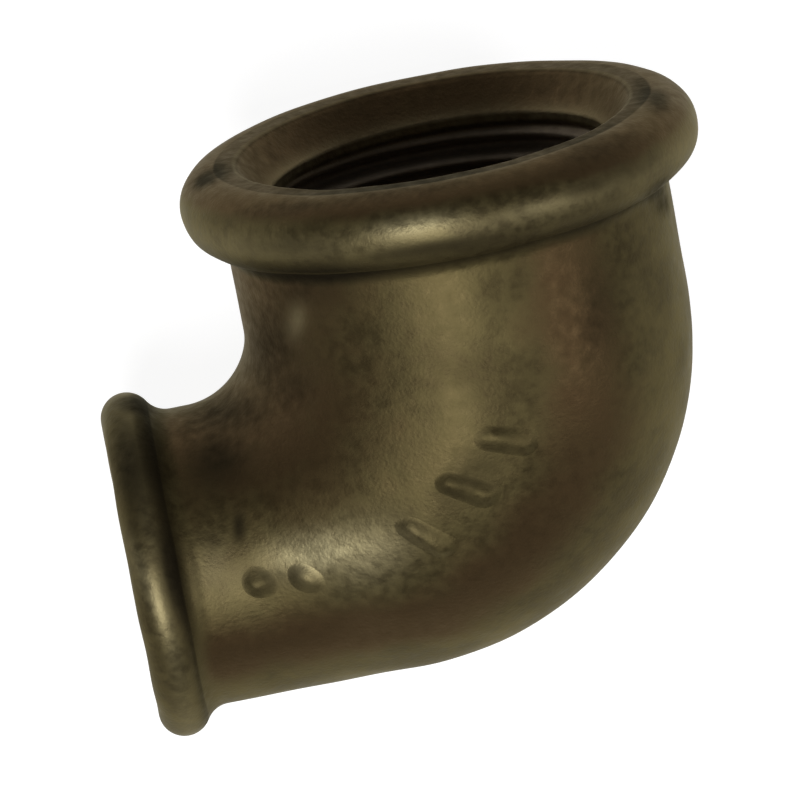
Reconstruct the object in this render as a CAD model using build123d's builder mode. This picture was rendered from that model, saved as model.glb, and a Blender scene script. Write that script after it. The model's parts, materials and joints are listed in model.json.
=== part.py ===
from build123d import *
import math
import os

# A reducing elbow for 1 inch and 1/2 inch pipe: one iron casting with two threaded sockets at a right
# angle. It is drawn with the axes of the sockets crossing at the origin: the large socket opens along
# +Y and the small one along -X, and each half is the mirror image of the other in the XY plane. The
# finished casting is then laid on its side, as it comes to rest on a bench. All lengths are in
# millimetres and all angles in degrees.

# Large socket
LARGE_LEG_D = 39.9          # outside of the plain leg
LARGE_BEAD_D = 46.9         # over the rounded bead at the mouth
LARGE_BEAD_WIDTH = 7.25     # along the axis
LARGE_ROOT_RADIUS = 1.6     # hollow where the bead meets the leg
LARGE_NECK = 6.4            # plain leg between the bend and that hollow
LARGE_RING = 2.0            # flat of the mouth, between the bead's round and the lead into the thread
LARGE_BORE_D = 30.291       # crests of the 1 inch parallel pipe thread
LARGE_THREAD_LENGTH = 17.0  # from the mouth

# Small socket
SMALL_LEG_D = 27.1
SMALL_BEAD_D = 31.5
SMALL_BEAD_WIDTH = 4.8
SMALL_ROOT_RADIUS = 2.2
SMALL_NECK = 1.5
SMALL_RING = 2.2
SMALL_BORE_D = 18.631       # crests of the 1/2 inch parallel pipe thread
SMALL_THREAD_LENGTH = 13.0

# Bend
THROAT_RADIUS = 6.2         # outside of the inner corner
HEEL_RADIUS = 29.7          # outside of the outer corner
WALL = 3.4                  # of the casting round the chamber between the threads
FAN_STEPS = 6               # equal turns that the 90 degrees are divided into

# How it lies: turned from flat about X, then about its own Y, until both beads and the bend touch the bench
TIP_ABOUT_X = 8.62
TIP_ABOUT_Y = -5.28

large_r = LARGE_LEG_D / 2
small_r = SMALL_LEG_D / 2
# Both legs start level with the centre of the throat's arc
large_start = small_r + THROAT_RADIUS
small_start = large_r + THROAT_RADIUS
throat_centre = Vector(-small_start, large_start)


def root_drop(leg_r, bead_d, bead_width, root_radius):
    """Distance along the axis from the centre of the bead's round to the centre of its root hollow."""
    round_r = bead_width / 2
    across = leg_r + root_radius - (bead_d / 2 - round_r)
    return math.sqrt((round_r + root_radius) ** 2 - across**2)


def face_distance(start, neck, leg_r, bead_d, bead_width, root_radius):
    """Distance from the crossing of the axes to a socket's mouth."""
    return start + neck + root_drop(leg_r, bead_d, bead_width, root_radius) + bead_width / 2


large_face = face_distance(
    large_start, LARGE_NECK, large_r, LARGE_BEAD_D, LARGE_BEAD_WIDTH, LARGE_ROOT_RADIUS
)
small_face = face_distance(
    small_start, SMALL_NECK, small_r, SMALL_BEAD_D, SMALL_BEAD_WIDTH, SMALL_ROOT_RADIUS
)


def fan_of_circles(inset):
    """Planes and radii of the round sections of the bend, each set in from the outside by inset.

    The sections stand on rays that fan out from the centre of the throat's arc. Each circle spans its
    ray from the throat to the heel, so it grows and shrinks as the corner does.
    """
    heel = FilletPolyline(
        (large_r - inset, large_face),
        (large_r - inset, inset - small_r),
        (-small_face, inset - small_r),
        radius=HEEL_RADIUS - inset,
    )
    circles = []
    for step in range(FAN_STEPS + 1):
        ray = Vector(1, 0, 0).rotate(Axis.Z, -90 * step / FAN_STEPS)
        near = throat_centre + ray * (THROAT_RADIUS + inset)
        far = heel.intersect(Line(near, near + ray * (large_face + small_face)))[0].center()
        onward = ray.cross(Vector(0, 0, 1))
        circles.append((Plane((near + far) / 2, x_dir=ray, z_dir=onward), (far - near).length / 2))
    return circles


def socket_wall(
    plane, start, face, leg_r, bead_d, bead_width, root_radius, ring, bore_d, thread_length
):
    """Section of one socket's wall, with the radius along the plane's X and the axis along its Y.

    The wall has the bead and its root hollow outside, and a 45 degree lead and the bore inside. Its
    inner end is a collar for the last turns of the thread, half a wall thinner than the leg.
    """
    round_r = bead_width / 2
    bead_centre = Vector(bead_d / 2 - round_r, face - round_r)
    root_centre = Vector(
        leg_r + root_radius, bead_centre.Y - root_drop(leg_r, bead_d, bead_width, root_radius)
    )
    meeting = bead_centre + (root_centre - bead_centre).normalized() * round_r
    thread_end = face - thread_length
    collar_r = leg_r - WALL / 2
    bore_r = bore_d / 2
    lead_r = bead_centre.X - ring
    with BuildSketch(plane) as wall:
        with BuildLine():
            Polyline(
                (bore_r, thread_end),
                (collar_r, thread_end),
                (collar_r, start),
                (leg_r, start),
                (leg_r, root_centre.Y),
            )
            TangentArc((leg_r, root_centre.Y), meeting, tangent=(0, 1))
            ThreePointArc(meeting, (bead_d / 2, bead_centre.Y), (bead_centre.X, face))
            Polyline(
                (bead_centre.X, face),
                (lead_r, face),
                (bore_r, face - (lead_r - bore_r)),
                (bore_r, thread_end),
            )
        make_face()
    return wall.sketch


outside = fan_of_circles(0)
chamber = fan_of_circles(WALL)
large_wall = socket_wall(
    plane=Plane.XY,
    start=large_start,
    face=large_face,
    leg_r=large_r,
    bead_d=LARGE_BEAD_D,
    bead_width=LARGE_BEAD_WIDTH,
    root_radius=LARGE_ROOT_RADIUS,
    ring=LARGE_RING,
    bore_d=LARGE_BORE_D,
    thread_length=LARGE_THREAD_LENGTH,
)
small_wall = socket_wall(
    plane=Plane.XY.rotated((0, 0, 90)),
    start=small_start,
    face=small_face,
    leg_r=small_r,
    bead_d=SMALL_BEAD_D,
    bead_width=SMALL_BEAD_WIDTH,
    root_radius=SMALL_ROOT_RADIUS,
    ring=SMALL_RING,
    bore_d=SMALL_BORE_D,
    thread_length=SMALL_THREAD_LENGTH,
)

with BuildPart() as elbow:
    for section, radius in outside:
        with BuildSketch(section):
            Circle(radius)
    loft()
    for section, radius in chamber:
        with BuildSketch(section):
            Circle(radius)
    loft(mode=Mode.SUBTRACT)
    revolve(large_wall, axis=Axis.Y)
    revolve(small_wall, axis=Axis.X)

# Lay the casting down, with the origin on the bench under the middle of its box
tipped = Rot(X=TIP_ABOUT_X, Y=TIP_ABOUT_Y)
box = (tipped * elbow.part).bounding_box()
rest = Pos(-box.center().X, -box.center().Y, -box.min.Z) * tipped
elbow.part = rest * elbow.part
elbow.part.label = "elbow"

print("axes cross at", rest.position)
print("large mouth at", (rest * Pos(Y=large_face)).position, "centre to face", round(large_face, 2))
print("small mouth at", (rest * Pos(X=-small_face)).position, "centre to face", round(small_face, 2))

os.makedirs("parts", exist_ok=True)
export_step(elbow.part, "parts/elbow.step")
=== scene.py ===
# %% [markdown]
# # A reducing elbow in black malleable iron
# The object is one casting: a bend with a 1 inch socket at one end and a 1/2 inch socket at the other.
# The packed model gives its form and its place. This lesson gives it what the eye expects of an old
# fitting: cut threads, an uneven skin, worn beads, dirt and painted shade in the hollows, painted
# highlights, and an oily brown-green iron.

# %% Load the packed model
import json
import math
from dataclasses import dataclass

import bpy
import numpy as np
from mathutils import Matrix, Vector


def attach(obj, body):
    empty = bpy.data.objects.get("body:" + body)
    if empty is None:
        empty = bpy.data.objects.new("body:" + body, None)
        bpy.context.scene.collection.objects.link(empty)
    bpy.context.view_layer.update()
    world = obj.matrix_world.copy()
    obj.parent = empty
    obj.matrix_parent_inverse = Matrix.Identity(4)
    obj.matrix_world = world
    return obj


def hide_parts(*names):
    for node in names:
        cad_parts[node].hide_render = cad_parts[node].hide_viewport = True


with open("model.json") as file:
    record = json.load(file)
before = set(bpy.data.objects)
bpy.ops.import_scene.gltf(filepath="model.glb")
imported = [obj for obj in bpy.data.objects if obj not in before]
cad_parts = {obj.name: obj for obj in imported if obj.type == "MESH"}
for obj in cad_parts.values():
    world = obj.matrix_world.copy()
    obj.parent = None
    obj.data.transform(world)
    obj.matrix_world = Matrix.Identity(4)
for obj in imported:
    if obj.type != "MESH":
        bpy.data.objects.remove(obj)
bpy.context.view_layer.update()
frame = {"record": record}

# %% [markdown]
# ## The casting's own axes
# On the bench the elbow lies tipped, with both beads and the bend touching. Its form is simplest in its
# own axes: the axes of the sockets cross at the origin, the large socket opens along +Y and the small one
# along -X. The packed record holds the place and axis of both threads, so the crossing is worked out from
# them, and one function carries every point from millimetres on the elbow to metres on the bench.

# %% Axes of the casting
MM = 0.001

mounts = {mount["name"]: mount for mount in frame["record"]["mounts"]}
large_mount = mounts["large_socket"]
small_mount = mounts["small_socket"]
large_axis = np.array(large_mount["axis"])
small_axis = np.array(small_mount["axis"])
large_middle = np.array(large_mount["pos_m"]) / MM
small_middle = np.array(small_mount["pos_m"]) / MM

# The crossing is the point that both lines share
back_along = np.linalg.lstsq(
    np.stack([large_axis, -small_axis], axis=1), small_middle - large_middle, rcond=None
)[0]
crossing = large_middle + back_along[0] * large_axis
elbow_axes = np.stack([-small_axis, large_axis, np.cross(-small_axis, large_axis)])


def on_bench(points):
    """Points on the elbow in millimetres, turned and moved to where it lies, in metres."""
    return (crossing + points @ elbow_axes) * MM


print("axes cross at", crossing.round(3), "mm")

# %% [markdown]
# ## The camera
# The photograph looks down on the elbow from a long way off, so a long lens is used and nothing is
# shifted: the camera is aimed at a point beside the crossing until the casting sits in the frame as it
# does in the picture. The camera comes first because stains, scars, painted shade and painted highlights
# are placed by where the picture shows them.

# %% Camera
PICTURE_PX = 800            # width and height of the picture
SENSOR = 36.0               # width of the film, millimetres
CAMERA_DISTANCE = 902.0     # from the crossing of the axes
PX_PER_MM = 11.152          # scale of the picture at the crossing
CROSSING_PX = (501.5, 495.8)    # where the crossing falls in the picture
ROLL, TILT, SWING = 10.73, 15.99, 1.50      # turns from the casting's axes to the camera's, degrees


def turn(axis, degrees):
    """Matrix of a turn about one of the three axes."""
    return np.array(Matrix.Rotation(math.radians(degrees), 3, axis))


# Rows: the camera's right, up and towards the viewer, in the casting's axes
camera_rows = turn("Z", ROLL) @ turn("X", TILT) @ turn("Y", SWING)
right_of, up_of, towards = camera_rows
half = PICTURE_PX / 2
aim = (right_of * (half - CROSSING_PX[0]) + up_of * (CROSSING_PX[1] - half)) / PX_PER_MM
eye = towards * CAMERA_DISTANCE
look_back = (eye - aim) / np.linalg.norm(eye - aim)
look_right = np.cross(up_of, look_back)
look_right /= np.linalg.norm(look_right)
look_up = np.cross(look_back, look_right)

camera_data = bpy.data.cameras.new("camera")
camera_data.sensor_width = SENSOR
camera_data.lens = SENSOR * PX_PER_MM * CAMERA_DISTANCE / PICTURE_PX
camera_data.clip_start = 0.05
camera_data.clip_end = 20
camera = bpy.data.objects.new("camera", camera_data)
camera.matrix_world = Matrix.Translation(Vector(on_bench(eye))) @ Matrix(
    (np.stack([look_right, look_up, look_back]) @ elbow_axes).T.tolist()
).to_4x4()
bpy.context.scene.collection.objects.link(camera)
bpy.context.scene.camera = camera


def in_picture(points):
    """Pixel across and down of points on the elbow: depth divides the two distances from the view axis."""
    away = points - eye
    scale = PX_PER_MM * CAMERA_DISTANCE / -(away @ look_back)
    return half + scale * (away @ look_right), half - scale * (away @ look_up)


print("lens", round(camera_data.lens, 1), "mm; the crossing falls at", np.round(in_picture(np.zeros(3)), 1))

# %% [markdown]
# ## Sizes of the two sockets
# Both sockets are made alike, only their sizes differ: a plain leg, a hollow, a rounded bead, a flat ring
# at the mouth, a reamed lead and a pipe thread. A small data class keeps the sizes of one socket together
# and works out the rest, so every later function takes a socket and is written once.

# %% Sockets
THROAT_R = 6.2              # outside of the inner corner, millimetres as all sizes here
LARGE_LEG_R = 19.95
SMALL_LEG_R = 13.55


@dataclass
class Socket:
    """Sizes of one socket; distances run along its axis from the crossing of the axes."""

    leg_r: float
    bead_r: float
    bead_width: float
    hollow_r: float
    neck: float             # plain leg between the bend and the hollow
    ring: float             # flat of the mouth, between the bead's round and the lead
    thread_length: float    # from the mouth
    pitch: float
    crest_r: float
    groove_r: float
    start: float            # where the leg leaves the bend
    bead_back_dirt_and_shade: float        # shares, 0 to 1: dirt and painted shade on the back of the bead
    hollow_dirt_and_shade: float      # dirt and painted shade in the hollow behind it
    bead_brown: float       # brown painted shade on the bead's mouth side

    def __post_init__(self):
        """Work out where the bead's round, the hollow, the mouth's face and the wide end of the lead are."""
        self.round_r = self.bead_width / 2
        self.round_centre_r = self.bead_r - self.round_r
        across = self.leg_r + self.hollow_r - self.round_centre_r
        self.drop = math.sqrt((self.round_r + self.hollow_r) ** 2 - across**2)
        self.hollow_at = self.start + self.neck
        self.round_at = self.hollow_at + self.drop
        self.face = self.round_at + self.round_r
        self.lead_r = self.round_centre_r - self.ring


large = Socket(
    leg_r=LARGE_LEG_R, bead_r=23.45, bead_width=7.25, hollow_r=1.6, neck=6.4, ring=2.0, thread_length=17.0,
    pitch=2.309, crest_r=large_mount["dims"]["r_mm"], groove_r=16.62, start=SMALL_LEG_R + THROAT_R,
    bead_back_dirt_and_shade=0.45, hollow_dirt_and_shade=0.65, bead_brown=1.0,
)
small = Socket(
    leg_r=SMALL_LEG_R, bead_r=15.75, bead_width=4.8, hollow_r=2.2, neck=1.5, ring=2.2, thread_length=13.0,
    pitch=1.814, crest_r=small_mount["dims"]["r_mm"], groove_r=10.48, start=LARGE_LEG_R + THROAT_R,
    bead_back_dirt_and_shade=0.6, hollow_dirt_and_shade=0.4, bead_brown=0.2,
)
print("centre to face, large and small:", round(large.face, 2), round(small.face, 2))

# %% [markdown]
# ## Rings round a bent axis
# The whole skin of the casting is one grid that closes on itself both ways, like the skin of a ring:
# round the pipe, and from the large mouth over the outside to the small mouth and back through the bore.
# Tubes could be joined by booleans instead, but one grid stays clean where the parts meet. A plain row is
# a circle. Its plane stands on a ray that fans out from the centre of the throat's arc, so one angle says
# how far round the bend it is: 0 on the large leg, 90 degrees on the small one.

# %% Ring formula
HEEL_R = 29.7               # outside of the outer corner
COLUMNS = 224               # points round each circle
TINY = 1e-9                 # keeps divisions away from zero
around = np.linspace(0, 2 * math.pi, COLUMNS, endpoint=False)
throat_centre = np.array([-small.start, large.start, 0.0])
heel_centre = np.array([large.leg_r - HEEL_R, HEEL_R - small.leg_r, 0.0])


def ring_points(centre, fan, radius, angle):
    """Centre plus radius times the ray's share (cosine) and the upward share (sine) of the angle."""
    ray = np.stack([np.cos(fan), -np.sin(fan), np.zeros_like(fan)], axis=-1)
    up = np.array([0.0, 0.0, 1.0])
    share = np.cos(angle)[..., None] * ray + np.sin(angle)[..., None] * up
    return centre + radius[..., None] * share


def straight(socket, along, radius, angle):
    """Rings on a straight leg: the centre runs out along the socket's axis, and the fan stands still."""
    on_large = socket is large
    direction = np.array([0.0, 1.0, 0.0]) if on_large else np.array([-1.0, 0.0, 0.0])
    fan = np.full(np.shape(along), 0.0 if on_large else math.pi / 2)
    return ring_points(along[..., None] * direction, fan, radius, angle)


def bend(fan, inset, angle):
    """Rings on the bend: each circle spans its ray from the throat's arc to the heel.

    The heel is a square corner rounded by an arc, so the far end of a ray is on the first straight, on the
    arc, or on the second straight, whichever it meets.
    """
    ray = np.stack([np.cos(fan), -np.sin(fan), np.zeros_like(fan)], axis=-1)
    to_side = (large.leg_r - inset - throat_centre[0]) / np.maximum(np.cos(fan), TINY)
    to_base = (throat_centre[1] + small.leg_r - inset) / np.maximum(np.sin(fan), TINY)
    offset = throat_centre - heel_centre
    middle = ray @ offset
    to_arc = -middle + np.sqrt(middle**2 - offset @ offset + (HEEL_R - inset) ** 2)
    side_hit = throat_centre[1] - to_side * np.sin(fan) >= heel_centre[1]
    base_hit = throat_centre[0] + to_base * np.cos(fan) <= heel_centre[0]
    far = np.where(side_hit, to_side, np.where(base_hit, to_base, to_arc))
    near = THROAT_R + inset
    centre = throat_centre + ray * ((near + far) / 2)[..., None]
    return ring_points(centre, fan, (far - near) / 2, angle)


print("columns round the casting:", COLUMNS)

# %% [markdown]
# ## Outside of a socket
# In section the outside of a socket is a short chain: the worn edge of the mouth, a flat ring, the round
# of the bead, the hollow behind it and the leg. A turned profile could be drawn as a curve and spun, but
# here each link has a plain formula, so the chain is written as arrays of distance and radius, row by
# row.

# %% Outside rows
WORN_EDGE = 0.35            # how far the mouth's inner edge is rounded off on the ring
EDGE_DEPTH = WORN_EDGE * math.sqrt(0.5)     # and how deep below the ring it meets the lead
LEAD_SLOPE = 0.80           # how much narrower the lead gets for each millimetre inwards
EDGE_WEAR = 0.5             # shares, 0 to 1: wear on the mouth's inner edge
BEAD_WEAR = 0.4             # wear on the outermost line of a bead
MOUTH_GRIME_AND_SHADE = 0.45          # grime and painted shade on the ring and the edge of a mouth
EDGE_ROWS, RING_ROWS, BEAD_ROWS, HOLLOW_ROWS, NECK_ROWS = 6, 8, 36, 12, 9


def ramp(values, start, end):
    """0 at start, 1 at end, straight between them and level beyond."""
    return np.clip((values - start) / (end - start), 0, 1)


def bell(values, middle, width):
    """1 in the middle, falling to both sides: e to the power of minus the squared distance in widths."""
    return np.exp(-(((values - middle) / width) ** 2))


def arc(centre_along, centre_r, radius, angle):
    """Distance and radius on an arc: the centre plus radius times the sine and cosine of the angle."""
    return centre_along + radius * np.sin(angle), centre_r + radius * np.cos(angle)


def outside_rows(socket):
    """Rows from mouth to bend: distance along the axis and radius, and the shares of the finish (0 to 1).

    The edge is a parabola between the lead and the ring. Bead and hollow are arcs that meet where the line
    between their centres cuts both.
    """
    edge = np.linspace(0, 1, EDGE_ROWS)
    edge_drop = EDGE_DEPTH * (1 - edge) ** 2
    edge_along = socket.face - edge_drop
    edge_r = socket.lead_r + WORN_EDGE * edge**2 - LEAD_SLOPE * edge_drop
    ring_r = np.linspace(socket.lead_r + WORN_EDGE, socket.round_centre_r, RING_ROWS)[1:-1]
    meeting = math.atan2(-socket.drop, socket.leg_r + socket.hollow_r - socket.round_centre_r)
    bead_angle = np.linspace(math.pi / 2, meeting, BEAD_ROWS)
    bead = arc(socket.round_at, socket.round_centre_r, socket.round_r, bead_angle)
    hollow_angle = np.linspace(meeting, 0, HOLLOW_ROWS)[1:]
    hollow = arc(socket.hollow_at, socket.leg_r + socket.hollow_r, -socket.hollow_r, hollow_angle)
    neck = np.linspace(socket.hollow_at, socket.start, NECK_ROWS)[1:-1]
    mouth_rows = np.ones(len(edge) + len(ring_r))
    in_hollow = np.linspace(0, 1, len(hollow_angle))
    worn_edge = EDGE_WEAR * np.sin(edge * math.pi)
    # The bead's angle, in radians, is half of pi at the mouth, 0 on its outermost line and negative behind
    bead_wear = BEAD_WEAR * bell(bead_angle, -0.05, 0.4)
    bead_grime = socket.bead_back_dirt_and_shade * ramp(bead_angle, -0.2, -0.9)
    bead_brown = socket.bead_brown * ramp(bead_angle, 0.35, 0.85)
    hollow_grime = socket.hollow_dirt_and_shade * np.cos(in_hollow * math.pi / 2)
    links = {
        "along": [edge_along, np.full_like(ring_r, socket.face), bead[0], hollow[0], neck],
        "radius": [edge_r, ring_r, bead[1], hollow[1], np.full_like(neck, socket.leg_r)],
        "wear": [worn_edge, 0 * ring_r, bead_wear, 0 * in_hollow, 0 * neck],
        "grime": [MOUTH_GRIME_AND_SHADE * mouth_rows, bead_grime, hollow_grime, 0 * neck],
        "brown": [mouth_rows, bead_brown, 0 * in_hollow, 0 * neck],
        "leg": [0 * mouth_rows, 0 * bead_angle, in_hollow, np.ones_like(neck)],
    }
    return {name: np.concatenate(parts) for name, parts in links.items()}


large_out = outside_rows(large)
small_out = outside_rows(small)
print("rows of the outside, large and small:", len(large_out["along"]), len(small_out["along"]))

# %% [markdown]
# ## Threads
# A pipe thread is a groove on a screw line. It could be cut with a swept shape and a boolean. On a grid
# it is only a radius that depends on both parameters: the depth from the mouth plus a share of the turn
# gives a phase, and a clipped zigzag of the phase goes from crest to groove and back. The lead is a plain
# cone with a worn land behind it, so the groove only grows from there, and it runs out again over the
# last turn. Cutting cone and groove leaves the larger of the two radii.

# %% Inside rows of a socket
ROWS_PER_PITCH = 12
LAND = 0.9                  # plain land between the lead and the first groove, rubbed bright by pipes


def threaded(socket):
    """Rings of the lead and thread from the mouth inwards, and how cut and how worn each row is, 0 to 1.

    The radius is the larger of the lead's cone and the screw groove.
    """
    rows = int((socket.thread_length - EDGE_DEPTH) / socket.pitch * ROWS_PER_PITCH)
    depth = np.linspace(EDGE_DEPTH, socket.thread_length, rows)[:, None]
    angle = np.broadcast_to(around, (rows, COLUMNS))
    # Right-hand threads: seen from its own mouth, each one turns the same way as it goes in
    hand = -1 if socket is large else 1
    phase = depth / socket.pitch + hand * angle / (2 * math.pi)
    zigzag = 2 * np.abs(phase - np.floor(phase) - 0.5)
    # The lowest and the highest sixth of the zigzag are cut to flats
    flank = ramp(zigzag, 1 / 6, 5 / 6)
    behind_lead = depth - (socket.lead_r - socket.crest_r) / LEAD_SLOPE
    run_in = ramp(behind_lead, LAND, LAND + socket.pitch / 2)
    run_out = ramp(depth, socket.thread_length, socket.thread_length - socket.pitch)
    screw = socket.crest_r + (socket.groove_r - socket.crest_r) * flank * run_in * run_out
    radius = np.maximum(socket.lead_r - LEAD_SLOPE * depth, screw)
    along = np.broadcast_to(socket.face - depth, radius.shape)
    worn = bell(behind_lead, LAND / 2, LAND)
    return straight(socket, along, radius, angle), run_in[:, 0], worn[:, 0]


large_in, large_cut, large_worn = threaded(large)
small_in, small_cut, small_worn = threaded(small)
print("rows of the threads, large and small:", len(large_in), len(small_in))

# %% [markdown]
# ## The chamber between the threads
# Behind each thread the bore steps out to a rough cored chamber. It follows the same fan, set in by the
# wall. The end of a thread is square to its axis and the rings of the bend are not, so the first and the
# last ring are cut by the plane of the thread's end: the fan's angle then differs from column to column.

# %% Chamber rows
WALL = 3.4                  # thickness round the chamber
CHAMBER_ROWS = 34
HALVINGS = 40


def fan_at_plane(reach, component):
    """Fan angle of each column where the chamber's skin meets a thread's end plane, found by halving.

    The component, 0 for x and 1 for y, falls as the fan turns, so half of the range drops out each time.
    """
    low = np.zeros(COLUMNS)
    high = np.full(COLUMNS, math.pi / 2)
    for _ in range(HALVINGS):
        middle = (low + high) / 2
        beyond = bend(middle, WALL, around)[:, component] > reach
        low = np.where(beyond, middle, low)
        high = np.where(beyond, high, middle)
    return low


fan_first = fan_at_plane(-(small.face - small.thread_length), 0)
fan_last = fan_at_plane(large.face - large.thread_length, 1)
share = np.linspace(0, 1, CHAMBER_ROWS)[:, None]
chamber_fan = fan_first * (1 - share) + fan_last * share
chamber = bend(chamber_fan, WALL, np.broadcast_to(around, chamber_fan.shape))
print("chamber turns from", np.degrees(fan_first).round(1).min(), "to", np.degrees(fan_last).round(1).max())

# %% [markdown]
# ## One closed grid
# The blocks of rows are stacked in the order of the walk: large mouth, outside, small mouth, bore, back.
# Each row also keeps how worn it is, its grime and its brown with the painted shade in both, and how cut it
# is. The finish reads these later as attributes.

# %% Stack the rows
BEND_ROWS = 92
BORE_GRIME = 0.3            # share of grime inside, except on the rubbed land
fan = np.linspace(0, math.pi / 2, BEND_ROWS)


def leg_rings(socket, rows):
    """Rings of the outside of one socket, every column alike."""
    size = (len(rows["along"]), COLUMNS)
    along = np.broadcast_to(rows["along"][:, None], size)
    radius = np.broadcast_to(rows["radius"][:, None], size)
    return straight(socket, along, radius, np.broadcast_to(around, size))


bend_size = (BEND_ROWS, COLUMNS)
blocks = [
    leg_rings(large, large_out),
    bend(np.broadcast_to(fan[:, None], bend_size), 0, np.broadcast_to(around, bend_size)),
    leg_rings(small, small_out)[::-1],
    small_in[1:],
    chamber,
    large_in[:0:-1],
]
grid = np.concatenate(blocks)
counts = [len(block) for block in blocks]
outside_count = sum(counts[:3])
inside_count = sum(counts[3:])


def by_row(name, on_bend, inside):
    """One number for each row: both sockets' rows, one value for the bend, and values for the inside."""
    inside_part = np.broadcast_to(inside, inside_count)
    parts = [large_out[name], np.full(BEND_ROWS, on_bend), small_out[name][::-1], inside_part]
    return np.concatenate(parts)[:, None]


def inside_rows(of_small, of_large):
    """Numbers of both threads' rows in the order of the walk, with 0 in the chamber between them."""
    return np.concatenate([of_small[1:], np.zeros(CHAMBER_ROWS), of_large[:0:-1]])


land = inside_rows(small_worn, large_worn)
wear = by_row("wear", on_bend=0.0, inside=land)
grime = by_row("grime", on_bend=0.0, inside=BORE_GRIME * (1 - land))
on_leg = by_row("leg", on_bend=1.0, inside=0.0)
brown_rows = by_row("brown", on_bend=0.0, inside=1.0)
cut = np.concatenate([np.zeros(outside_count), inside_rows(small_cut, large_cut)])[:, None]
print("rows by block:", counts, "triangles:", 2 * grid.shape[0] * grid.shape[1])

# %% [markdown]
# ## The uneven skin
# Sand moulds leave the skin of a casting slightly lumpy. A Displace modifier could do it, but the raised
# marks later need the same lumps as numbers. A sum of waves in many directions gives a smooth field of
# them without a seam. It is only ever taken off the form, so the casting keeps its outside sizes. The
# fine sand grain is too small for the mesh and comes later, as bump in the finish.

# %% Lumps
LUMP_DEPTH = 0.13
LUMP_LENGTHS = (5.0, 18.0)  # shortest and longest wave
SKIN = 0.03                 # clearance inside the packed form
WAVES = 48


def lumps(points, lengths, seed):
    """Sum of sine waves with random directions, lengths and phases, scaled to run from about 0 to 1."""
    dice = np.random.default_rng(seed)
    direction = dice.normal(size=(WAVES, 3))
    direction /= np.linalg.norm(direction, axis=1, keepdims=True)
    length = np.exp(dice.uniform(*np.log(lengths), WAVES))
    phase = dice.uniform(0, 2 * math.pi, WAVES)
    height = np.sin(points @ (direction / length[:, None] * 2 * math.pi).T + phase).sum(axis=-1)
    spread = math.sqrt(WAVES / 2)
    return np.clip(0.5 + height / (4 * spread), 0, 1)


def sunk(points):
    """How far the cast skin lies below the form at each point."""
    return SKIN + LUMP_DEPTH * lumps(points, LUMP_LENGTHS, seed=4)


def grid_normals(points):
    """Outward normals of the closed grid: across the columns, cross along the rows, both by differences."""
    round_step = np.roll(points, -1, axis=1) - np.roll(points, 1, axis=1)
    row_step = np.roll(points, -1, axis=0) - np.roll(points, 1, axis=0)
    normal = np.cross(round_step, row_step)
    return normal / np.linalg.norm(normal, axis=-1, keepdims=True)


normals = grid_normals(grid)
is_outside = (np.arange(len(grid)) < outside_count)[:, None]
take_off = np.where(is_outside, sunk(grid), SKIN)
print("taken off the skin, mm:", take_off.min().round(3), "to", take_off.max().round(3))

# %% [markdown]
# ## Scars, stains, painted shade and painted highlights
# The marks of its life are mostly on the visible side: a bright scar under the large bead, a dark streak
# by the small bead and smudges at the ends of the large bead. Painted shade darkens the throat, the beads,
# the large bead's rim and the skin round the raised marks, and painted highlights lighten places on the
# bend and the beads. They could be painted by hand. Here each is a soft oval in the picture, carried back
# to the points of the iron that the camera sees there, so it stays on the iron from every side.

# %% Ovals seen by the camera
FULL_VIEW = 0.25            # cosine of the angle to the viewer from which a point counts in full


class Seen:
    """Pixels of points, and how squarely the camera sees each: 0 turned away, 1 in full view."""

    def __init__(self, points, normal):
        self.across, self.down = in_picture(points)
        to_eye = eye - points
        self.facing = (normal * to_eye).sum(axis=-1) / np.linalg.norm(to_eye, axis=-1)
        self.share = np.clip(self.facing / FULL_VIEW, 0, 1)


@dataclass
class Oval:
    """Soft oval in the picture: a bell over two half widths in pixels, leaning by some degrees."""

    x: float
    y: float
    half_x: float
    half_y: float
    lean: float = 0.0
    strength: float = 1.0

    def on(self, seen):
        """Strength of the oval at each point that is seen."""
        across, down = seen.across - self.x, seen.down - self.y
        cos_lean, sin_lean = math.cos(math.radians(self.lean)), math.sin(math.radians(self.lean))
        long_way = (across * cos_lean + down * sin_lean) / self.half_x
        short_way = (down * cos_lean - across * sin_lean) / self.half_y
        return self.strength * bell(np.hypot(long_way, short_way), 0, 1) * seen.share


def strongest(ovals, seen):
    """The strongest of several ovals at each point."""
    return np.maximum.reduce([oval.on(seen) for oval in ovals])


seen = Seen(grid, normals)
seen.share = seen.share * is_outside
print("share of the skin that the camera sees:", (seen.share > 0).mean().round(2))
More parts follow.
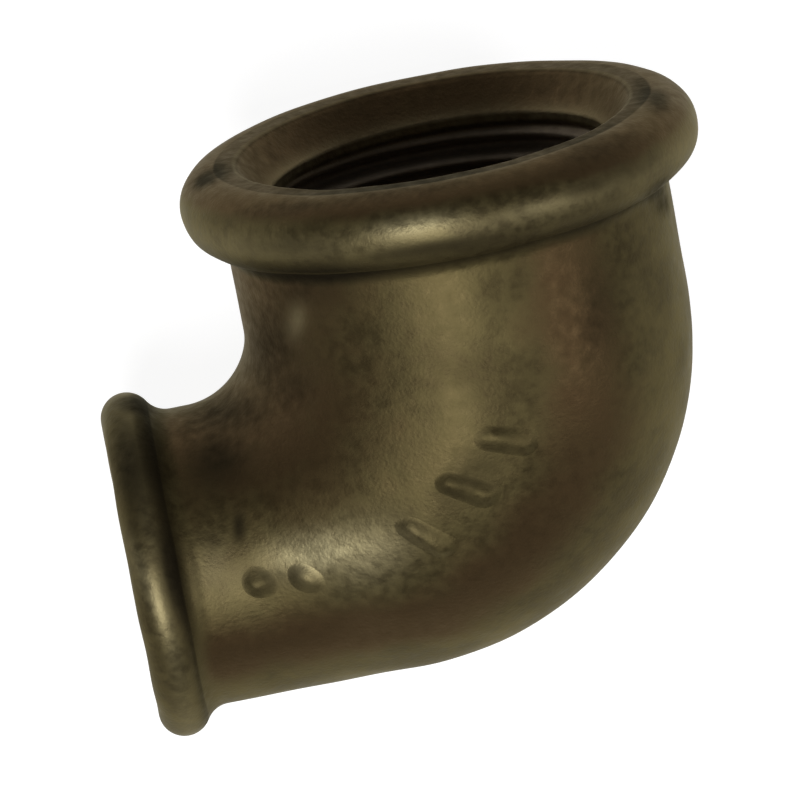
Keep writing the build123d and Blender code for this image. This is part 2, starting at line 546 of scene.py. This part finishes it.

# %% [markdown]
# ## Where they lie
# The places are read off the picture in pixels, across and down, with half widths, a lean in degrees and
# a strength. The scar is also a shallow dent. Dirt, painted shade and painted highlights only change the
# finish.

# %% Scar, dirt, painted shade and painted highlights
SCAR_DEPTH = 0.22
SCARS = [Oval(293, 322, 9, 16, lean=12)]
# Dirt and painted shade. The streak and the smudges at the ends of the large bead are stains; the ovals
# marked painted shade darken where shade falls.
DIRT_AND_SHADE = [
    Oval(239, 526, 9, 22, strength=0.75),               # streak beside the small bead
    Oval(205, 178, 20, 10, lean=-30, strength=0.95),    # ends of the large bead
    Oval(657, 98, 20, 15, lean=30, strength=0.75),
    Oval(128, 462, 30, 75, lean=-10, strength=0.75),    # painted shade: upper half of the small bead, and behind it
    Oval(130, 403, 26, 16, strength=0.72),
    Oval(168, 572, 14, 60, lean=-12, strength=0.58),
    Oval(218, 462, 42, 44, strength=0.66),              # painted shade: small leg in the throat
    Oval(225, 412, 60, 30, lean=-10, strength=0.62),
    Oval(268, 345, 46, 70, strength=0.58),              # painted shade: large leg in the throat, and under the large bead
    Oval(305, 290, 80, 32, lean=-5, strength=0.5),
    Oval(292, 384, 40, 36, strength=0.5),
    Oval(600, 310, 30, 75, strength=0.5),               # large leg towards the heel
    Oval(282, 578, 44, 20, lean=-6, strength=0.45),     # painted shade: round the raised marks
    Oval(470, 475, 68, 36, lean=-48, strength=0.45),
    Oval(290, 247, 65, 14, strength=0.45),              # painted shade: front of the large bead
    Oval(430, 247, 75, 9, lean=-9, strength=0.55),
    Oval(590, 186, 34, 14, lean=-17, strength=0.6),
    Oval(620, 172, 60, 22, lean=-20, strength=0.45),
    Oval(664, 200, 14, 22, strength=0.65),
    Oval(595, 150, 70, 22, lean=-17, strength=0.5),     # painted shade: its near rim
    Oval(400, 190, 190, 15, lean=-9, strength=0.45),
    Oval(290, 207, 80, 13, lean=-8, strength=0.5),
]
# Painted highlights: lighter, smoother iron where the lamps' highlights fall on the bend and the beads.
PAINTED_HIGHLIGHTS = [
    Oval(322, 553, 44, 20, lean=-8),                    # painted highlight: small end of the bend
    Oval(358, 552, 44, 28, lean=-8, strength=0.5),
    Oval(225, 580, 45, 28, lean=-8, strength=0.08),     # painted highlight: small leg
    Oval(212, 568, 22, 30, strength=0.12),
    Oval(414, 224, 40, 9, lean=-9, strength=0.6),       # painted highlight: front of the large bead
    Oval(537, 207, 34, 7, lean=-13, strength=0.1),
    Oval(150, 591, 8, 52, lean=-21, strength=0.35),     # painted highlight: front of the small bead
]
scar, dirt_and_shade, rubbed = (strongest(ovals, seen) for ovals in (SCARS, DIRT_AND_SHADE, PAINTED_HIGHLIGHTS))
take_off = take_off + SCAR_DEPTH * scar
print("strongest scar, dirt and rubbing:", [round(float(field.max()), 2) for field in (scar, dirt_and_shade, rubbed)])

# %% [markdown]
# ## Brown oxide and painted shade
# The skin is browner in two bands along the bend, one near the heel and one in the throat, on the rings of
# the mouths and the beads beside them, inside, and on the right of the large bead. This is partly oxide
# and partly painted shade: brown where the sides and the beads' mouth sides turn away from the highlights.
# A band is a bell round the pipe, the same on every row between the beads.

# %% Brown bands
HEEL_BAND = (62, 15)        # middle and half width in degrees round the pipe, 0 at the heel and 90 on top
THROAT_BAND = (158, 42)
# Brown painted shade on the right of the large bead's rim
BROWN_SHADE = [Oval(605, 150, 75, 26, lean=-17)]


def brown_bands(angle):
    """The stronger of two bells round the pipe."""
    degrees = np.degrees(angle)
    return np.maximum(bell(degrees, *HEEL_BAND), bell(degrees, *THROAT_BAND))


brown = np.clip(brown_rows + on_leg * brown_bands(around) + strongest(BROWN_SHADE, seen), 0, 1)
print("mean share of brown:", brown.mean().round(2))

# %% [markdown]
# ## The casting
# The grid becomes one mesh whose faces close it both ways, and every point keeps its numbers for the
# finish. The piece takes the place of the packed solid in the picture, and it rides on the same body.

# %% Make the casting
def closed_faces(rows, columns):
    """Four corners of each face of a grid that closes both ways."""
    index = np.arange(rows * columns).reshape(rows, columns)
    beside = np.roll(index, -1, axis=1)
    corners = [index, beside, np.roll(beside, -1, axis=0), np.roll(index, -1, axis=0)]
    return np.stack(corners, axis=-1).reshape(-1, 4)


def new_piece(name, points, faces):
    """Mesh object at the origin from points in metres and faces of four corners, shaded smooth."""
    mesh = bpy.data.meshes.new(name)
    mesh.from_pydata(points.reshape(-1, 3), [], faces)
    mesh.shade_smooth()
    piece = bpy.data.objects.new(name, mesh)
    bpy.context.scene.collection.objects.link(piece)
    return piece


def give_attributes(piece, **fields):
    """Named fields with one number for each point of a piece, for its finish to read."""
    for name, values in fields.items():
        attribute = piece.data.attributes.new(name, "FLOAT", "POINT")
        attribute.data.foreach_set("value", np.ascontiguousarray(values, np.float32).ravel())


skin = grid - normals * take_off[..., None]
casting = new_piece("elbow_casting", on_bench(skin), closed_faces(*grid.shape[:2]))
give_attributes(
    casting,
    wear=np.clip(wear + scar, 0, 1),
    grime=np.clip(grime + dirt_and_shade, 0, 1),
    rubbed=rubbed,
    brown=brown,
    cut=np.broadcast_to(cut, brown.shape),
)
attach(casting, "root")
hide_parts("elbow")
print("casting:", len(casting.data.vertices), "points", len(casting.data.polygons), "faces")

# %% [markdown]
# ## Raised pattern marks
# Foundries put small raised marks on a pattern so that castings can be told apart. Here they are plain:
# three bars across the bend and two pips beside the small bead. They could be pushed out of the casting's
# own grid, but that is too coarse for them. So each is its own fine patch that lies on the uneven skin
# and swells out of it, with its rim just under the skin.

# %% Patches that swell
RIM_SUNK = 0.02             # how far a patch's rim lies under the skin
PATCH = 33                  # points along each side of a patch
BAR = (6.4, 3.0, 0.40)      # length round the pipe, width along it, height
PIP = (3.7, 3.7, 0.42)
BARS_PX = [(428, 538), (470, 492), (508, 440)]
PIPS_PX = [(260, 584), (304, 579)]
MARK_LUMPS = (1.5, 5.0)     # shortest and longest wave of their uneven tops
MARK_UNEVEN = 0.3           # share of its height by which a mark is higher or lower in places
NUDGE = 1e-3                # small turn for measuring slopes, radians


def spot_on_bend(pixel):
    """Fan angle and angle round the pipe of the point of the bend that the camera sees at a pixel."""
    rows = slice(counts[0], counts[0] + counts[1])
    miss = np.hypot(seen.across[rows] - pixel[0], seen.down[rows] - pixel[1])
    # Points that face away are put out of reach
    miss = miss + PICTURE_PX * (seen.facing[rows] < 0)
    row, column = np.unravel_index(np.argmin(miss), miss.shape)
    return fan[row], around[column]


def raised_patch(pixel, sizes):
    """Points, normals, angles and rise of a small oblong of the skin that swells along its middle line.

    The oblong's sides are turned into steps of the two angles. The rise falls from 1 to 0 by a cosine with
    the distance from the middle line.
    """
    length, width, height = sizes
    spot = [np.asarray(part) for part in spot_on_bend(pixel)]
    here = bend(spot[0], 0, spot[1])
    per_fan = np.linalg.norm(bend(spot[0] + NUDGE, 0, spot[1]) - here) / NUDGE
    per_turn = np.linalg.norm(bend(spot[0], 0, spot[1] + NUDGE) - here) / NUDGE
    unit = np.linspace(-0.5, 0.5, PATCH)
    along, across = np.meshgrid(unit * length, unit * width, indexing="ij")
    turned, angle = spot[0] + across / per_fan, spot[1] + along / per_turn
    form = bend(turned, 0, angle)
    normal = np.cross(bend(turned, 0, angle + NUDGE) - form, bend(turned + NUDGE, 0, angle) - form)
    normal /= np.linalg.norm(normal, axis=-1, keepdims=True)
    reach = np.hypot(np.maximum(np.abs(along) - (length - width) / 2, 0), across) / (width / 2)
    rise = 0.5 + 0.5 * np.cos(math.pi * np.clip(reach, 0, 1))
    uneven = 1 + MARK_UNEVEN * (2 * lumps(form, MARK_LUMPS, seed=9) - 1)
    swell = height * rise * uneven
    upper = form + normal * (swell - sunk(form) - RIM_SUNK)[..., None]
    return upper, normal, angle, rise


sized_spots = [(pixel, BAR) for pixel in BARS_PX] + [(pixel, PIP) for pixel in PIPS_PX]
patches = [raised_patch(pixel, sizes) for pixel, sizes in sized_spots]
mark_points, mark_normals, mark_angles, mark_rise = (np.stack(part) for part in zip(*patches))
print("marks:", len(patches), "patches of", PATCH * PATCH, "points")

# %% [markdown]
# ## The marks as one piece
# A second sheet closes each patch below the skin, so every mark is a closed shape. The five become one
# piece. It reads the same ovals and bands as the skin, so its colour runs on, and a little painted shade
# darkens its flanks.

# %% Make the marks
FOOT = 0.5                  # depth of the lower sheet
FLANK_SHADE = 0.12           # share of painted shade half way up a flank


def patch_faces(first_point):
    """Faces of the upper sheet, of the lower one turned over, and of the rim that joins them."""
    top, low = np.arange(2 * PATCH * PATCH).reshape(2, PATCH, PATCH) + first_point

    def sheet(index):
        """Faces between the rows and columns of one sheet."""
        corners = [index[:-1, :-1], index[1:, :-1], index[1:, 1:], index[:-1, 1:]]
        return np.stack(corners, axis=-1).reshape(-1, 4)

    def edge(index):
        """Points once round the edge of one sheet."""
        return np.concatenate([index[0, :-1], index[:-1, -1], index[-1, :0:-1], index[:0:-1, 0]])

    rim_top, rim_low = edge(top), edge(low)
    rim = np.stack([rim_top, np.roll(rim_top, -1), np.roll(rim_low, -1), rim_low], axis=-1)
    return np.concatenate([sheet(top), sheet(low)[:, ::-1], rim])


mark_sheets = np.stack([mark_points, mark_points - FOOT * mark_normals], axis=1)
mark_faces = np.concatenate([patch_faces(2 * PATCH * PATCH * number) for number in range(len(patches))])
marks = new_piece("pattern_marks", on_bench(mark_sheets), mark_faces)


def both_sheets(field):
    """One field of the upper sheets, repeated for the lower ones."""
    return np.stack([field, field], axis=1)


mark_seen = Seen(mark_points, mark_normals)
flank = 4 * mark_rise * (1 - mark_rise)
give_attributes(
    marks,
    grime=both_sheets(np.clip(strongest(DIRT_AND_SHADE, mark_seen) + FLANK_SHADE * flank, 0, 1)),
    rubbed=both_sheets(strongest(PAINTED_HIGHLIGHTS, mark_seen)),
    brown=both_sheets(brown_bands(mark_angles)),
)
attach(marks, "root")
print("marks:", len(marks.data.vertices), "points", len(marks.data.polygons), "faces")

# %% [markdown]
# ## Shader maths as sums
# A finish is a net of nodes, and most of them only add or multiply. A small class wraps one output of a
# node and lets Python's operators add those nodes, so that a finish can be written down like a sum.
# Colours go through Mix nodes, because a Math node would turn them grey.

# %% A socket with operators
class Wire:
    """One output of a shader node. Operators on wires add Math nodes, and node() adds any other."""

    def __init__(self, tree, socket=None):
        self.tree = tree
        self.socket = socket

    def node(self, kind, settings, sockets, output=0):
        """Add a node of that type, set it up, fill or link its sockets, and give back one output."""
        made = self.tree.nodes.new(kind)
        for name, setting in settings.items():
            setattr(made, name, setting)
        for name, given in sockets.items():
            if isinstance(given, Wire):
                self.tree.links.new(given.socket, made.inputs[name])
            else:
                made.inputs[name].default_value = given
        return Wire(self.tree, made.outputs[output] if len(made.outputs) else None)

    def maths(self, operation, first, second):
        """One Math node on two wires or numbers."""
        return self.node("ShaderNodeMath", {"operation": operation}, {0: first, 1: second})

    def __add__(self, other):
        return self.maths("ADD", self, other)

    def __sub__(self, other):
        return self.maths("SUBTRACT", self, other)

    def __mul__(self, other):
        return self.maths("MULTIPLY", self, other)

    def __rsub__(self, other):
        return self.maths("SUBTRACT", other, self)

    __radd__ = __add__
    __rmul__ = __mul__

    def between(self, low, high):
        """0 below low, 1 above high, and a smooth climb from one to the other."""
        settings = {"interpolation_type": "SMOOTHSTEP"}
        return self.node("ShaderNodeMapRange", settings, {"Value": self, "From Min": low, "From Max": high})

    def noise(self, scale, detail, roughness):
        """Noise on the object's own coordinates, which are metres."""
        place = self.node("ShaderNodeTexCoord", {}, {}, "Object")
        sockets = {"Vector": place, "Scale": scale, "Detail": detail, "Roughness": roughness}
        return self.node("ShaderNodeTexNoise", {}, sockets)

    def mixed(self, first, second):
        """Colour that goes from first to second as this wire goes from 0 to 1."""
        return self.node("ShaderNodeMix", {"data_type": "RGBA"}, {0: self, 6: first, 7: second}, 2)

    def attribute(self, name):
        """One of the piece's own numbers, kept at its points."""
        return self.node("ShaderNodeAttribute", {"attribute_name": name}, {}, "Fac")


def new_finish(name):
    """A material with an empty node tree, and a wire to build it with."""
    material = bpy.data.materials.new(name)
    material.use_nodes = True
    material.node_tree.nodes.clear()
    return material, Wire(material.node_tree)


print("operators on wires:", [name for name in vars(Wire) if name.endswith(("add__", "sub__", "mul__"))])

# %% [markdown]
# ## The finish: oily black iron
# Black malleable iron keeps its dark oxide skin, and a film of oil turns it brown-green. It is not a
# clean metal: the light that comes back is weak, tinted and uneven. Large and fine noise mix a dark and
# an olive skin, the brown bands of oxide and painted shade turn it red-brown, wear and painted highlights
# bring out the metal, and grime and painted shade darken it. The cut threads have a colour of their own.
# The finest noise is the grain of the sand, and only shows as bump.

# %% Black iron
PATCH_SCALE = 120           # scale of the noise for each metre: patches of about 8 mm
MOTTLE_SCALE = 1000         # mottle of about 1 mm
SAND_SCALE = 3000           # sand of about a third of a millimetre
DARK_SKIN = (0.055, 0.041, 0.017, 1)
OLIVE_SKIN = (0.140, 0.112, 0.046, 1)
# Brown oxide, also painted as shade in bands on the sides and on the beads' mouth sides
BROWN_SKIN = (0.080, 0.050, 0.022, 1)
# Dark colour of grime and of painted shade
GRIME_AND_SHADE = (0.020, 0.015, 0.008, 1)
# Colour of worn iron, also used for the painted highlights
WORN_IRON_AND_HIGHLIGHT = (0.44, 0.38, 0.21, 1)
CUT_IRON = (0.28, 0.23, 0.17, 1)
EDGE_TINT = (0.78, 0.75, 0.60, 1)       # colour of reflections at a grazing angle
METAL_SHARE = 0.85          # the oxide skin is not wholly a metal
OIL_IOR = 1.5
ROUGH = 0.54                # roughness before mottle, dirt, rubbing and cutting change it
BUMP_HEIGHT = 0.0002        # metres


def black_iron():
    """Dark and olive skin by noise, browned in bands, with iron where it is worn and where highlights are
    painted, and grime and painted shade over it.
    """
    material, make = new_finish("black_iron")
    patches = make.noise(PATCH_SCALE, detail=4, roughness=0.55).between(0.36, 0.66)
    mottle = make.noise(MOTTLE_SCALE, detail=3, roughness=0.5)
    sand = make.noise(SAND_SCALE, detail=2, roughness=0.5)
    # Wear counts for less than the painted highlights. Noise breaks up all of these shares, so that none has
    # a clean edge
    bare_and_highlight = make.attribute("wear") * 0.3 + make.attribute("rubbed")
    bare_and_highlight = bare_and_highlight * (0.75 + mottle.between(0.3, 0.7) * 0.5)
    # Grime and painted shade darken the skin and make it rougher
    grimed_and_shaded = (make.attribute("grime") + (mottle - 0.5) * 0.3).between(0.15, 1.0)
    # Brown oxide and painted shade, in bands and on the beads' mouth sides
    browned = (make.attribute("brown") * 0.9 + (patches - 0.5) * 0.4).between(0.1, 0.9)
    # Later layers lie over earlier ones
    colour = (patches * 0.55 + mottle.between(0.3, 0.7) * 0.4).mixed(DARK_SKIN, OLIVE_SKIN)
    colour = browned.mixed(colour, BROWN_SKIN)
    colour = bare_and_highlight.mixed(colour, WORN_IRON_AND_HIGHLIGHT)
    colour = grimed_and_shaded.mixed(colour, GRIME_AND_SHADE)
    colour = make.attribute("cut").mixed(colour, CUT_IRON)
    roughness = ROUGH + (mottle - 0.5) * 0.3 + grimed_and_shaded * 0.25 - bare_and_highlight * 0.12 + make.attribute("cut") * 0.15
    relief = mottle * 0.4 + sand * 0.6
    bump = make.node("ShaderNodeBump", {}, {"Strength": 0.25, "Distance": BUMP_HEIGHT, "Height": relief})
    shader = make.node(
        "ShaderNodeBsdfPrincipled",
        {},
        {
            "Base Color": colour,
            "Roughness": roughness,
            "Metallic": METAL_SHARE,
            "IOR": OIL_IOR,
            "Specular Tint": EDGE_TINT,
            "Normal": bump,
        },
    )
    make.node("ShaderNodeOutputMaterial", {}, {"Surface": shader})
    return material


iron = black_iron()
casting.data.materials.append(iron)
marks.data.materials.append(iron)
print("finish:", iron.name, len(iron.node_tree.nodes), "nodes")

# %% [markdown]
# ## The pale floor
# The picture's ground is plain white with hardly any shadow. More light would bleach the iron too, so the
# floor does it: it is pale and matt, and where the camera, or a reflection, looks at it, it reflects less
# and glows nearly white. The open floor comes out white, and the object's soft shadow stays.

# %% Floor
FLOOR_HALF = 3.0            # half of its width, metres
FLOOR_GLOW = 0.92           # strength of the glow, 1 is white
FLOOR_WHITE = (0.8, 0.8, 0.8, 1)
FLOOR_UNDER_GLOW = (0.32, 0.32, 0.32, 1)
corners = np.array([[-1, -1, 0], [1, -1, 0], [1, 1, 0], [-1, 1, 0]]) * FLOOR_HALF
floor = new_piece("floor", corners, np.array([[0, 1, 2, 3]]))


def pale_floor():
    """Matt white; to the camera and to reflections it is darker and glows, and the two add up to white."""
    material, make = new_finish("pale_floor")

    def path(output):
        """1 for rays of one kind, and 0 for the others."""
        return make.node("ShaderNodeLightPath", {}, {}, output)

    looked_at = path("Is Camera Ray") + path("Is Glossy Ray") + path("Is Transmission Ray")
    matt = make.node("ShaderNodeBsdfDiffuse", {}, {"Color": looked_at.mixed(FLOOR_WHITE, FLOOR_UNDER_GLOW)})
    glow = make.node("ShaderNodeEmission", {}, {"Color": (1, 1, 1, 1), "Strength": looked_at * FLOOR_GLOW})
    both = make.node("ShaderNodeAddShader", {}, {0: matt, 1: glow})
    make.node("ShaderNodeOutputMaterial", {}, {"Surface": both})
    return material


floor.data.materials.append(pale_floor())
print("floor", 2 * FLOOR_HALF, "m wide")

# %% [markdown]
# ## Soft light
# The picture is lit softly, from near the camera. A large round lamp stands below and to the left of the
# camera in the picture, a weaker one to the right, and a faint one before the large mouth, which shows
# the lead and the first threads. The sky adds a little from everywhere.

# %% Light
WORLD_LEVEL = 0.06          # light from the sky
world = bpy.data.worlds.new("studio")
world.use_nodes = True
world.node_tree.nodes["Background"].inputs["Color"].default_value = (1, 1, 1, 1)
world.node_tree.nodes["Background"].inputs["Strength"].default_value = WORLD_LEVEL
bpy.context.scene.world = world


def soft_lamp(name, left, below, distance, size, power):
    """Round lamp aimed at the crossing, so many degrees left of and below the camera in the picture."""
    side, drop = math.tan(math.radians(left)), math.tan(math.radians(below))
    direction = look_back - look_right * side - look_up * drop
    direction /= np.linalg.norm(direction)
    data = bpy.data.lights.new(name, "AREA")
    data.shape = "DISK"
    data.size = size
    data.energy = power
    lamp = bpy.data.objects.new(name, data)
    lamp.location = on_bench(direction * distance / MM)
    towards_elbow = Vector(-direction @ elbow_axes)
    lamp.rotation_mode = "QUATERNION"
    lamp.rotation_quaternion = towards_elbow.to_track_quat("-Z", "Y")
    bpy.context.scene.collection.objects.link(lamp)


soft_lamp("key_lamp", left=8, below=26, distance=0.6, size=0.32, power=2.3)
soft_lamp("side_lamp", left=-52, below=16, distance=0.7, size=0.22, power=1.3)
soft_lamp("mouth_lamp", left=10, below=-66, distance=0.6, size=0.3, power=0.15)
bpy.context.scene.view_settings.view_transform = "Standard"

# %% [markdown]
# The finished pieces have to stay inside the box of the packed model.
